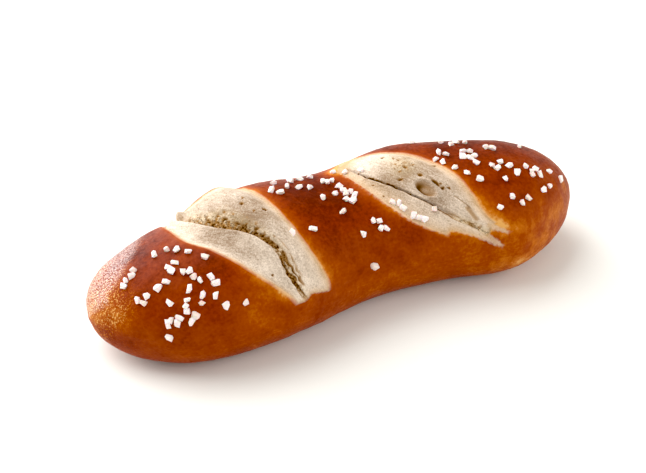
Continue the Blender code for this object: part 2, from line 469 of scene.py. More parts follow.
def smooth_curve(xs, ys, at):
    """A curve through the given points with the slopes that its neighbours suggest."""
    xs = np.asarray(xs, float)
    ys = np.asarray(ys, float)
    slopes = np.gradient(ys, xs)
    at = np.clip(at, xs[0], xs[-1])
    i = np.clip(np.searchsorted(xs, at, side="right") - 1, 0, len(xs) - 2)
    step = xs[i + 1] - xs[i]
    s = (at - xs[i]) / step
    before = (1 + 2 * s) * (1 - s) ** 2 * ys[i] + s * (1 - s) ** 2 * step * slopes[i]
    after = s * s * (3 - 2 * s) * ys[i + 1] + s * s * (s - 1) * step * slopes[i + 1]
    return before + after


def ease(share):
    """0 up to 0, 1 from 1, and a soft S between."""
    share = np.clip(share, 0.0, 1.0)
    return share * share * (3 - 2 * share)


def ramp(value, start, end):
    """0 up to the start, 1 from the end, and a soft S between; the end may be the lower of the two."""
    return ease((value - start) / (end - start))


def step(value, name):
    """One of the named soft steps."""
    return ramp(value, *STEPS[name])


def waves(places, size, seed):
    """Soft random heights from -1 to 1, with bumps about `size` mm apart."""
    shifted = places / size + seed * np.array(SEED_STEP)
    return np.array([noise.noise(place) for place in shifted.tolist()])


def pattern(places, name, seed=0):
    """One of the named random patterns."""
    size, own_seed = PATTERNS[name]
    return waves(places, size, seed + own_seed)


def unrolled(x, y):
    """Places on a surface that is rolled out flat."""
    return np.stack([x, y, 0 * x], axis=-1)


def spots(rows, along, angle):
    """Sum of soft round spots, each with its along, angle, reach in mm and strength."""
    total = np.zeros_like(along)
    for spot_along, spot_angle, reach, strength in rows:
        gap = np.hypot(along - spot_along, (angle - spot_angle) * MM_PER_DEGREE) / reach
        total = total + strength * np.exp(-(gap**2))
    return total


def loaf_point(along, angle):
    """The plain loaf without its slashes."""
    half_width = smooth_curve(STATIONS, HALF_WIDTH, along)
    height = 2 * half_width * HEIGHT_TO_WIDTH
    widest = WIDEST_LEVEL * height
    bluntness = np.where(along < 0, LEFT_END_BLUNTNESS, RIGHT_END_BLUNTNESS)
    to_end = np.clip(np.abs(along) / (LENGTH / 2), 0.0, 1.0)
    cap = np.sqrt(1 - to_end**bluntness)
    sine = np.sin(np.radians(angle))
    cosine = np.cos(np.radians(angle))
    power = np.where(cosine >= 0, 2 / TOP_ROUNDNESS, 2 / FOOT_ROUNDNESS)
    across = np.sign(sine) * np.abs(sine) ** power * half_width * cap
    rise = np.abs(cosine) ** power * cap
    level = np.where(cosine >= 0, rise * (height - widest), -rise * widest * FOOT_DROP)
    sideways = smooth_curve(STATIONS, SIDEWAYS, along)
    return np.stack([along, sideways - across, np.maximum(widest + level, 0.0)], axis=-1)


def outward(along, angle):
    """The plain loaf's unit normal."""
    along_step = loaf_point(along + NEAR_ALONG, angle) - loaf_point(along - NEAR_ALONG, angle)
    round_step = loaf_point(along, angle + NEAR_ANGLE) - loaf_point(along, angle - NEAR_ANGLE)
    normal = np.cross(round_step, along_step)
    return normal / np.maximum(np.linalg.norm(normal, axis=-1, keepdims=True), 1e-9)


def slash_lines(slash, angle, wander):
    """Near edge, split, top of the torn strip, far edge and swell at each angle."""
    seed, _ = slash["seeds"]
    rows = np.array(slash["rows"])
    turns = np.concatenate([rows[:, 0] - 360, rows[:, 0], rows[:, 0] + 360])
    lines = [smooth_curve(turns, np.tile(rows[:, column], 3), angle) for column in (1, 2, 3, 4, 5)]
    places = unrolled(angle * MM_PER_DEGREE, 0 * angle)
    for index, (size, share) in enumerate(EDGE_WANDER):
        smaller = waves(places, size / TIMES_SMALLER, seed + index + SMALLER_SEED)
        strays = waves(places, size, seed + index) + 0.5 * smaller
        strays = wander * share * strays * step(np.abs(angle), "lines_stray")
        lines[index] = lines[index] + strays
    for index in (1, 2, 3):
        lines[index] = np.maximum(lines[index], lines[index - 1] + LEAST_GAP)
    return lines


def ring_place(ring, angle, left_lines, right_lines):
    """How far along the loaf a ring crosses each angle, and its share across either slash."""
    ends = np.full_like(angle, LENGTH / 2)
    lines = np.array([-ends, *left_lines[:4], *right_lines[:4], ends])
    marks = np.concatenate([[0], np.cumsum(RINGS_BETWEEN)])
    part = np.clip(np.searchsorted(marks, ring, side="right") - 1, 0, len(marks) - 2)
    share = (ring - marks[part]) / (marks[part + 1] - marks[part])
    share = np.where(part == 0, 1 - np.cos(share * np.pi / 2), share)
    share = np.where(part == len(marks) - 2, np.sin(share * np.pi / 2), share)
    picked = np.arange(len(angle))
    along = lines[part, picked] * (1 - share) + lines[part + 1, picked] * share
    left = np.where((part >= 1) & (part <= 3), part - 2 + share, np.where(part == 0, -1.0, 2.0))
    right = np.where((part >= 5) & (part <= 7), part - 6 + share, np.where(part < 5, -1.0, 2.0))
    return along, left, right


def to_stroke(along, angle, start_along, start_angle, end_along, end_angle):
    """Distance in mm from a straight stroke on the surface, and the share of it where it's nearest."""
    x = along - start_along
    y = (angle - start_angle) * MM_PER_DEGREE
    dx = end_along - start_along
    dy = (end_angle - start_angle) * MM_PER_DEGREE
    share = np.clip((x * dx + y * dy) / (dx * dx + dy * dy), 0.0, 1.0)
    return np.hypot(x - share * dx, y - share * dy), share


def inside_ends(slash, along, angle):
    """How far inside the curves where a slash's crumb ends a point lies, in mm."""
    front = smooth_curve(*np.array(slash["front_end"]).T, along) - angle
    back = angle - smooth_curve(*np.array(slash["back_end"]).T, along)
    return np.minimum(front, back) * MM_PER_DEGREE


def torn_strip(slash, share, gap, angle, points, within, seed):
    """How torn the crumb is along the split, how stringy it is there, and its pits."""
    stringy = step(angle, "stringy")
    top = 0.72 + 0.22 * step(angle, "wide_strip")
    strip = ramp(share, 0, 0.1) * ramp(share, top + 0.3, top - 0.05) * within
    strip = strip * ramp(angle, *slash["rough"])

    # Round pits, and furrows along the split where it's stringy. There are fewer towards the top of
    # the strip and towards the back.
    furrows = pattern(unrolled(gap, 0.16 * angle * MM_PER_DEGREE), "furrows", seed)
    pits = (1 - stringy) * pattern(points, "pits", seed) + 0.8 * stringy * furrows
    few = 0.5 * ramp(share, top - 0.4, top + 0.1) * (1 - 0.6 * stringy)
    few = few - 0.16 + 0.22 * step(angle, "fewer_pits")
    pits = ramp(pits, few, few + 0.15) * step(angle, "pits") * (1 - ramp(angle, *slash["healed"]))
    return strip, stringy * strip, pits * strip


def split_crack_shade(slash, gap, angle, points, within, seed):
    """The crack's painted shade beside the split, at the foot of the torn strip. It fades towards the back.
    """
    low, top, low_dark = slash["crack"]
    wide = low + (top - low) * step(angle, "wide_crack")
    wide = wide * (1 + 0.8 * pattern(points, "crack", seed)) * (1 - ramp(angle, *slash["healed"]))
    crack = ramp(gap, -0.1, 0.1) * ramp(gap, wide + 0.15, wide - 0.15) * within
    return crack * (0.1 + 0.9 * step(angle, "dark_crack")) * (1 + (low_dark - 1) * step(angle, "stringy"))


def dried_skin_and_shade(slash, far_side, angle):
    """How grey either flap looks, partly dried skin and partly painted shade: most near the top, less low
    on the front.
    """
    near, far, start, far_top = slash["dried"]
    top = np.where(far_side, far_top, 0.05)
    dried = np.where(far_side, far, near) * (top + (1 - top) * ramp(angle, start, start + 22))
    return dried * (1 - 0.5 * step(angle, "less_dried_and_shade") - 0.45 * step(angle, "hardly_dried_and_shade"))


def slash_detail(slash, lines, share, along, angle, points, look):
    """Relief and masks of one slash."""
    _, seed = slash["seeds"]
    near, split, _, far, swell = lines
    far_side = along > split
    back_shut, back_open, front_open, front_shut = slash["fades"]
    opening = ramp(angle, back_shut, back_open) * ramp(angle, front_shut, front_open)
    within = opening * ((share > -1) & (share < 2))
    to_ends = inside_ends(slash, along, angle) + 0.3 * pattern(points, "crumb_ends", seed)
    depth_in = np.minimum.reduce([along - near, far - along, to_ends])
    strip, stringy, pits = torn_strip(slash, share, along - split, angle, points, within, seed)
    crack = split_crack_shade(slash, along - split, angle, points, within, seed)

    # The tear fades where the split heals and low on the front.
    tear = smooth_curve(*np.array(slash["tear"]).T, share) * step(to_ends, "tear")
    tear = tear * (1 - 0.85 * ramp(angle, *slash["healed"])) * (1 - 0.5 * step(angle, "stringy"))
    tear = tear * ramp(angle, slash["torn_from"], slash["torn_from"] + 10)
    across = (along - split) / (far - split)
    swollen = swell * ramp(across, 0, SWELL_PEAK) * ramp(across, 1, SWELL_PEAK)
    shreds = 0.6 * (pattern(points, "shreds", seed) + 0.7 * pattern(points, "fine_shreds", seed))
    uneven = 0.18 * pattern(points, "bulges", seed) + 0.06 * pattern(points, "clods", seed)
    height = (tear + swollen) * within + look.ragged / MM * (strip * shreds - pits)
    height = height + step(depth_in, "bulges") * (1 - strip) * uneven

    # Crumb browned beside the crust, a frayed edge between the two, and the crust's pale fringe.
    toast_near, toast_far, toast_ends = slash["toasted"]
    toasted = np.where(far_side, np.exp((along - far) / toast_far), np.exp((near - along) / toast_near))
    toasted = np.clip(np.maximum(0.75 * toasted, 0.8 * np.exp(-to_ends / toast_ends)), 0, 1)
    frayed = np.where(far_side, FAR_FRAY, 0.6 * toast_near)
    crumb = ease(0.5 + (depth_in + 0.5 * (frayed - 0.4) * pattern(points, "fray", seed)) / frayed)
    lower = step(angle, "low_fringe")
    fringe_near, fringe_far = [top + (low - top) * lower for top, low in slash["fringed"]]
    fringe = np.exp(np.minimum(depth_in, 0) / np.where(far_side, fringe_far, fringe_near))
    return {
        "height": height,
        "crumb": crumb,
        "toast": toasted * crumb,
        "torn": strip * (0.45 + 0.55 * step(share, "torn_foot")) * (0.2 + 0.8 * step(angle, "torn_colour")),
        "stringy": stringy,
        # Painted shade in the pits and in the crack, lighter towards the back.
        "hollow": np.maximum(pits * (0.45 + 0.55 * step(angle, "dark_pits")), crack),
        "dried": dried_skin_and_shade(slash, far_side, angle) * step(depth_in, "dried"),
        "fringe": fringe * opening,
        "lip": LIP_HEIGHT * np.exp(np.minimum(along - near, 0) / LIP_REACH) * (along < near) * opening,
    }


def pore_relief(along, angle):
    """Heights of the gas holes and grooves, and the painted shade in them, from 0 to 1."""
    height = np.zeros_like(along)
    hollow = np.zeros_like(along)
    for pore_along, pore_angle, long, wide, turned, deep in PORES:
        x = along - pore_along
        y = (angle - pore_angle) * MM_PER_DEGREE
        cosine = np.cos(np.radians(turned))
        sine = np.sin(np.radians(turned))
        reach = np.hypot((x * cosine + y * sine) * 2 / long, (y * cosine - x * sine) * 2 / wide)
        bowl = step(reach, "bowl")
        rim = np.exp(-(((reach - 1.3) / 0.25) ** 2))
        wall = ease(0.5 - 0.9 * x / wide)
        height += deep * (0.42 * rim * (1 - wall) - bowl * (0.4 + 0.6 * wall))
        shade = 0.9 if wide < WIDE_PORE else 0.2 + 0.75 * wall * step(reach, "bowl_wall")
        hollow = np.maximum(hollow, bowl * shade)
    for *stroke, wide, deep in GROOVES:
        gap, _ = to_stroke(along, angle, *stroke)
        ditch = ramp(gap, 0.6 * wide, 0.1 * wide)
        height -= deep * ditch
        hollow = np.maximum(hollow, 0.6 * deep * ditch)
    return height, hollow


def tongue_mask(along, angle, plain):
    """The tongues of crumb beyond the right slash."""
    inside = []
    for *stroke, wide in TONGUES:
        gap, share = to_stroke(along, angle, *stroke)
        inside.append(wide / 2 * (1 - 0.7 * share**2) - gap)
    return ease(0.5 + (np.maximum.reduce(inside) + 0.7 * pattern(plain, "tongue_edge")) / 1.1)


def left_tip(along, angle):
    """The glaze on top of the left end, which reaches further down at the tip, and its fine grain."""
    lowest = GLAZE_LOWEST
    for start, growth in GLAZE_GROWTH:
        lowest = lowest + growth * np.maximum(start - along, 0)
    lower = np.minimum(lowest, GLAZE_MOST)
    tip = step(along, "glazed_tip") * ramp(angle, lower, lower - 26) * step(angle, "tip_from_back")
    grain = np.maximum(step(along, "grainy_tip"), ease(3 * tip))
    past = np.maximum(ramp(angle, lowest + 20, lowest + 55), step(angle, "underside"))
    return tip, grain * (1 - 0.7 * past)


def crust_bake_and_painted_light(along, angle, plain, fringe, tip, stretched):
    """How dark the crust is, from 0 to 1: paler low down, on both ends and beside the slashes, in part as
    painted light.
    """
    level = plain[:, 2] / HEIGHT
    low = step(level, "pale_low") * (0.45 + 0.55 * step(along, "past_left_end"))
    right_end = step(along, "right_end") * step(level, "right_end_low")
    left_end = step(along, "left_end") * (1 - step(angle, "front_of_left_end"))

    # Well browned on top, paler low down, partly as painted light, blotched all over, and flaked and paler
    # on the right end.
    bake = 0.8 - 0.22 * low + 0.16 * pattern(plain, "baked") + 0.1 * pattern(plain, "blotched")
    bake = bake + right_end * (0.24 * pattern(plain * (1.0, 0.6, 0.6), "flaked") - 0.2)

    # Paler beside the slashes and where the crust stretched, patched, darker on the back, and paler
    # at the left end and under its glaze, where the paleness is in part a painted highlight.
    bake = bake - 0.7 * fringe - stretched + spots(DARKER_PATCHES, along, angle) - 0.08 * tip
    bake = bake + (0.07 * step(angle, "darker_back") - 0.32 * left_end) * (1 - step(angle, "underside"))
    return np.clip(bake, 0, 1)


def put_in_order(shape):
    """Sorts edges and faces by their corners, so that each run gives the same mesh."""
    count = len(shape.verts)
    shape.verts.index_update()

    def by_corners(edge):
        first, second = sorted(vertex.index for vertex in edge.verts)
        return count * first + second

    shape.edges.sort(key=by_corners)
    shape.faces.sort(key=lambda face: count * face.verts[0].index + face.verts[1].index)


def loaf_shape():
    """A sphere with its poles at the loaf's ends, as a bmesh, and each vertex's ring and angle."""
    rings = sum(RINGS_BETWEEN)
    shape = bmesh.new()
    bmesh.ops.create_uvsphere(shape, u_segments=SEGMENTS, v_segments=rings, radius=1.0)
    bmesh.ops.rotate(shape, verts=shape.verts, matrix=Matrix.Rotation(np.pi / 2, 3, "Y"))
    ball = np.array([vertex.co for vertex in shape.verts])
    ring = np.round(np.arccos(np.clip(-ball[:, 0], -1, 1)) / np.pi * rings)
    turn = np.arctan2(-ball[:, 1], ball[:, 2]) / (2 * np.pi)
    return shape, ring, np.interp(turn, SEGMENT_SHARES, SEGMENT_ANGLES)


def centring():
    """How far the loaf moves so that the middle of its box is the origin."""
    ends = np.linspace(-LENGTH / 2, LENGTH / 2, BOX_STEPS)
    along, angle = np.meshgrid(ends, np.linspace(-180, 180, BOX_STEPS))
    points = loaf_point(along.ravel(), angle.ravel())
    return -(points.min(axis=0) + points.max(axis=0)) / 2 * (1.0, 1.0, 0.0)


def loaf_surface(ring, angle, look):
    """Points of the finished surface in mm, and the masks that its material reads."""
    wander = look.wander / MM
    left_lines = slash_lines(LEFT_SLASH, angle, wander)
    right_lines = slash_lines(RIGHT_SLASH, angle, wander)
    along, left_share, right_share = ring_place(ring, angle, left_lines, right_lines)
    plain = loaf_point(along, angle)
    left = slash_detail(LEFT_SLASH, left_lines, left_share, along, angle, plain, look)
    right = slash_detail(RIGHT_SLASH, right_lines, right_share, along, angle, plain, look)
    both = {name: np.maximum(left[name], right[name]) for name in left}
    tongue = tongue_mask(along, angle, plain)
    crumb = np.maximum(both["crumb"], 0.75 * tongue)
    crust = 1 - crumb

    # The relief, which fades at the foot.
    pore_height, pore_hollow_shade = pore_relief(along, angle)
    kneaded = pattern(plain, "kneaded") + 0.5 * pattern(plain, "fingered")
    wrinkled = pattern(plain, "wrinkled") + 0.6 * pattern(plain, "finely_wrinkled")
    height = left["height"] + right["height"] + pore_height + spots(LUMPS, along, angle)
    height = height + (both["lip"] + look.wrinkles / MM * wrinkled) * crust
    height = height + look.lumps / MM * kneaded - look.skin / MM * crumb
    height = height * step(plain[:, 2], "relief")
    points = plain + outward(along, angle) * height[:, None]

    # What the material and the salt read.
    *stroke, reach = STRETCHED_CRUST
    gap, _ = to_stroke(along, angle, *stroke)
    stretched = np.exp(-((gap / reach) ** 2))
    tip, grain = left_tip(along, angle)
    strewn = step(angle, "salt_from_top") * step(angle, "salt_from_back")
    strewn = strewn * step(pattern(plain, "salted"), "salted")
    masks = {
        "crumb": crumb,
        "torn": np.maximum(both["torn"], spots(PINHOLES, along, angle)) * crumb,
        "stringy": both["stringy"] * crumb,
        # Painted shade in the pits, cracks, holes and grooves.
        "hollow": np.clip(np.maximum(both["hollow"], pore_hollow_shade), 0, 1) * crumb,
        "toast": np.maximum.reduce([both["toast"], 0.7 * stretched, 0.55 * tongue]) * crumb,
        "dried": both["dried"] * crumb,
        "bake": crust_bake_and_painted_light(along, angle, plain, both["fringe"], tip, stretched),
        "grainy": grain * crust,
        "streaky": step(plain[:, 2] / HEIGHT, "streaks") * crust,
        "glaze": ease(1.2 * tip - 0.1) * crust * (1 - both["fringe"]),
        "strewn": strewn * crust,
    }
    split = np.where(along < BETWEEN_SLASHES, left_lines[1], right_lines[1])
    pull = unrolled(along - split, angle * MM_PER_DEGREE) * MM
    return points, masks, pull


def linked(name, data):
    """A new object in the scene."""
    made = bpy.data.objects.new(name, data)
    bpy.context.scene.collection.objects.link(made)
    return made


def mesh_from(shape, name):
    """The bmesh as a mesh. The bmesh is freed."""
    mesh = bpy.data.meshes.new(name)
    shape.to_mesh(mesh)
    shape.free()
    return mesh


def feed(tree, node, links):
    """Gives a node's inputs a value, another node or one of its outputs."""
    for name, value in links.items():
        sockets = [s for s in node.inputs if s.enabled and s.name == name]
        socket = node.inputs[name] if isinstance(name, int) else sockets[0]
        if isinstance(value, tuple) and isinstance(value[0], bpy.types.Node):
            value = next(s for s in value[0].outputs if s.enabled and s.name == value[1])
        if isinstance(value, bpy.types.Node):
            value = next(s for s in value.outputs if s.enabled)
        if isinstance(value, bpy.types.NodeSocket):
            tree.links.new(value, socket)
        else:
            socket.default_value = value


def shaded(name, values):
    """A new material, its tree and its shader, with the values on the shader's inputs."""
    material = bpy.data.materials.new(name)
    material.use_nodes = True
    shader = material.node_tree.nodes["Principled BSDF"]
    feed(material.node_tree, shader, values)
    return material, material.node_tree, shader


def add(tree, kind, settings=None, links=None, stops=()):
    """Adds a node with its settings, what its inputs are given, and the stops of a colour ramp."""
    made = tree.nodes.new(kind)
    for name, value in (settings or {}).items():
        setattr(made, name, value)
    feed(tree, made, links or {})
    for index, (position, tint) in enumerate(stops):
        ends = made.color_ramp.elements
        stop = ends[index] if index < 2 else ends.new(position)
        stop.position = position
        stop.color = (*tint, 1.0)
    return made


# Noises of the bread: name, size of its features in mm, detail, and the places it reads, which are
# plain, drawn out the way the crumb tore, or drawn out along the loaf.
BREAD_NOISES = (
    ("mottle", 6.0, 5.0, "place"),
    ("freckle", 1.2, 3.0, "place"),
    ("pinhead", 0.6, 2.0, "place"),
    ("patch", 9.0, 3.0, "place"),
    ("clods", 1.6, 3.0, "place"),
    ("crumbs", 0.5, 3.0, "place"),
    ("holes", 0.85, 2.0, "place"),
    ("fibres", 0.8, 3.0, "torn_way"),
    ("strands", 0.6, 2.0, "torn_way"),
    ("lines", 0.9, 2.0, "lengthwise"),
)

# Sums of a constant and weighted terms, held between 0 and 1. A weight may name another of them.
BREAD_SUMS = (
    ("crust", 1.0, (("crumb", -1.0),)),
    ("even", 1.0, (("stringy", -1.0),)),
    ("grit", 0.0, (("holes", "even"), ("strands", "stringy"), ("torn", 0.17))),
    # Tiny pores in the crumb; their dark specks are painted shade.
    ("hole", -20.6, (("grit", 30.0),)),
    ("depth", 0.35, (("torn", 0.5),)),
    ("pore_speck_shade", 0.0, (("hole", "depth"),)),
    ("fresh", 0.0, (("torn", 0.5),)),
    ("clod", -7.9, (("clods", 15.0),)),
    ("clumps", 0.0, (("clod", "torn"),)),
    ("flecks", -2.8, (("holes", 6.4),)),
    ("solid", 1.0, (("torn", -1.0), ("flecks", "torn"))),
    # Painted shade in the pits, cracks, holes and grooves: brown, tinted golden, and darkest where deepest.
    ("pit", 0.0, (("hollow", "solid"),)),
    ("golden_hollow_shade", 0.0, (("hollow", 1.3),)),
    ("deep", 0.0, (("pit", "pit"),)),
    # Grey crumb, partly dried skin and partly painted shade, in random patches.
    ("dry_and_shade", -1.55, (("dried", 0.8), ("patch", 1.2), ("fibres", 0.8), ("crumbs", 1.5))),
    # Golden specks on the grainy tip, partly the crust's grain and partly painted glints where the coat
    # glints too.
    ("gold_and_glint_specks", -16.8, (("pinhead", 30.0),)),
    ("gilt_and_painted_glints", 0.0, (("gold_and_glint_specks", "grainy"),)),
    ("scratch", -14.6, (("lines", 25.0),)),
    ("scratched", 0.0, (("scratch", "streaky"),)),
    (
        "tone",
        -0.54,
        (("bake", 1.0), ("mottle", 0.6), ("freckle", 0.48), ("gilt_and_painted_glints", -0.5), ("scratched", -0.12)),
    ),
    ("glint", -2.2, (("pinhead", 6.0),)),
    ("shine", 1.0, (("grainy", -1.0), ("glint", "grainy"))),
    ("coat", 0.0, (("glaze", "shine"),)),
    ("matt", 0.28, (("freckle", 0.4), ("crumb", 0.5))),
    ("rough", 0.04, (("grainy", 0.45),)),
    ("skin", 0.0, (("pinhead", "rough"), ("freckle", 0.05))),
    ("crumbly", 0.1, (("crumbs", 0.4), ("fibres", 0.12), ("hole", -0.08))),
    ("relief", 0.0, (("skin", "crust"), ("crumbly", "crumb"))),
)


def bread_numbers(tree, masks):
    """The mesh's masks, the noises and the sums, by name."""
    plain = (add(tree, "ShaderNodeTexCoord"), "Object")
    pull = (add(tree, "ShaderNodeAttribute", {"attribute_name": "pull"}), "Vector")
    places = {
        "place": plain,
        "torn_way": add(tree, "ShaderNodeMapping", None, {"Vector": pull, "Scale": (1.0, 0.2, 1.0)}),
        "lengthwise": add(tree, "ShaderNodeMapping", None, {"Vector": plain, "Scale": (0.12, 1.0, 1.0)}),
    }
    numbers = {name: (add(tree, "ShaderNodeAttribute", {"attribute_name": name}), "Fac") for name in masks}
    for name, millimetres, detail, at in BREAD_NOISES:
        scale = 1 / (millimetres * MM)
        links = {"Vector": places[at], "Scale": scale, "Detail": detail, "Roughness": 0.6}
        numbers[name] = add(tree, "ShaderNodeTexNoise", None, links)
    for name, total, terms in BREAD_SUMS:
        for step, (source, weight) in enumerate(terms, 1):
            settings = {"operation": "MULTIPLY_ADD", "use_clamp": step == len(terms)}
            links = {0: numbers[source], 1: numbers.get(weight, weight), 2: total}
            total = add(tree, "ShaderNodeMath", settings, links)
        numbers[name] = total
    return numbers


def bread_material(look, masks):
    """Lye-dipped wheat dough, oven-baked: a satin chestnut skin, and matt cream crumb where it tore."""
    values = {"Specular IOR Level": 0.1, "Coat Roughness": 0.35, "Coat IOR": 2.2}
    material, tree, shader = shaded("lye_crust_and_crumb", values)
    numbers = bread_numbers(tree, masks)
    # Over the cream: grey that is partly dried skin and partly painted shade, fresh shreds, browned clods,
    # toast, and painted shade in specks, holes, pits and deep places.
    layers = (
        ("dry_and_shade", look.crumb_grey),
        ("fresh", look.crumb_torn),
        ("clumps", look.crumb_brown_and_pit_shade),
        ("toast", look.crumb_toast_and_hole_shade),
        ("pore_speck_shade", look.crumb_deep_shade),
        ("golden_hollow_shade", look.crumb_toast_and_hole_shade),
        ("pit", look.crumb_brown_and_pit_shade),
        ("deep", look.crumb_deep_shade),
    )
    crumb = (*look.crumb_cream, 1.0)
    for mask, tint in layers:
        links = {"Factor": numbers[mask], "A": crumb, "B": (*tint, 1.0)}
        crumb = add(tree, "ShaderNodeMix", {"data_type": "RGBA"}, links)
    crust_stops = (
        (0.0, look.crust_gold),
        (1.0, look.crust_dark),
        (0.22, look.crust_orange),
        (0.48, look.crust_brown),
        (0.76, look.crust_red),
    )
    crust = add(tree, "ShaderNodeValToRGB", None, {"Fac": numbers["tone"]}, crust_stops)
    links = {"Factor": numbers["crumb"], "A": crust, "B": crumb}
    base = add(tree, "ShaderNodeMix", {"data_type": "RGBA"}, links)
    links = {"Height": numbers["relief"], "Distance": MM, "Strength": 1.0}
    bump = add(tree, "ShaderNodeBump", None, links)

    links = {"Base Color": base, "Roughness": numbers["matt"], "Coat Weight": numbers["coat"]}
    feed(tree, shader, {**links, "Normal": bump, "Coat Normal": bump})
    return material


def salt_material(salt):
    """Coarse pan salt: broken white crystals that let a little light through."""
    values = {"Roughness": 0.4, "IOR": 1.544, "Subsurface Weight": 0.3, "Subsurface Scale": 0.6 * MM}
    material, tree, shader = shaded("coarse_salt", values)
    milky = (add(tree, "ShaderNodeAttribute", {"attribute_name": "milky"}), "Fac")
    tint = add(tree, "ShaderNodeValToRGB", None, {"Fac": milky}, ((0.0, salt.clear), (0.35, salt.white)))
    feed(tree, shader, {"Base Color": tint})
    return material


def view_axes(stage):
    """Camera position, and the directions right, up and back from it."""
    turn, rise = stage.azimuth, stage.elevation
    back = Vector((np.sin(turn) * np.cos(rise), -np.cos(turn) * np.cos(rise), np.sin(rise)))
    right = Vector((np.cos(turn), np.sin(turn), 0.0))
    up = back.cross(right)
    middle = Vector((0.0, centring()[1] * MM, stage.aim_height))
    aim = middle + right * stage.aim_right + up * stage.aim_up
    return aim + back * stage.distance, right, up, back


class STICK_OT_bake_loaf(bpy.types.Operator):
    """Shape and brown the loaf with its two slashes"""

    bl_idname = "stick.bake_loaf"
    bl_label = "Bake Loaf"

    def execute(self, context):
        look = context.scene.pretzel_loaf
        shape, ring, angle = loaf_shape()
        points, masks, pull = loaf_surface(ring, angle, look)
        points = points + centring()
        for vertex, point in zip(shape.verts, points * MM):
            vertex.co = point
        bmesh.ops.recalc_face_normals(shape, faces=shape.faces)
        put_in_order(shape)
        mesh = mesh_from(shape, "baked_loaf")
        mesh.shade_smooth()
        for name, values in masks.items():
            layer = mesh.attributes.new(name, "FLOAT", "POINT")
            layer.data.foreach_set("value", values.astype(np.float32))
        layer = mesh.attributes.new("pull", "FLOAT_VECTOR", "POINT")
        layer.data.foreach_set("vector", pull.astype(np.float32).ravel())
        mesh.materials.append(bread_material(look, [name for name in masks if name != "strewn"]))
        loaf = linked("loaf", mesh)
        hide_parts("pretzel_stick")
        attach(loaf, "root")
        return {"FINISHED"}


def salt_crystals():
    """A collection of broken crystals about one unit long, each with about twenty faces."""
    crystals = bpy.data.collections.new("salt_crystals")
    dice = np.random.default_rng(CRYSTAL_SEED)
    for index in range(CRYSTAL_KINDS):
        ball = bmesh.new()
        bmesh.ops.create_icosphere(ball, subdivisions=1, radius=0.5)
        corners = np.array([vertex.co for vertex in ball.verts])
        ball.free()
        size = np.array((1.1, dice.uniform(0.7, 0.95), dice.uniform(0.55, 0.8)))
        boxy = dice.uniform(0.45, 0.8)
        corners = np.sign(corners) * np.abs(corners * 2) ** boxy / 2 * size
        corners = corners + dice.uniform(-CHIPPED, CHIPPED, corners.shape)
        shape = bmesh.new()
        for corner in corners:
            shape.verts.new(corner)
        hull = bmesh.ops.convex_hull(shape, input=shape.verts)
        bmesh.ops.delete(shape, geom=hull["geom_interior"], context="VERTS")
        put_in_order(shape)
        mesh = mesh_from(shape, f"salt_crystal_{index}")
        crystals.objects.link(bpy.data.objects.new(mesh.name, mesh))
    return crystals


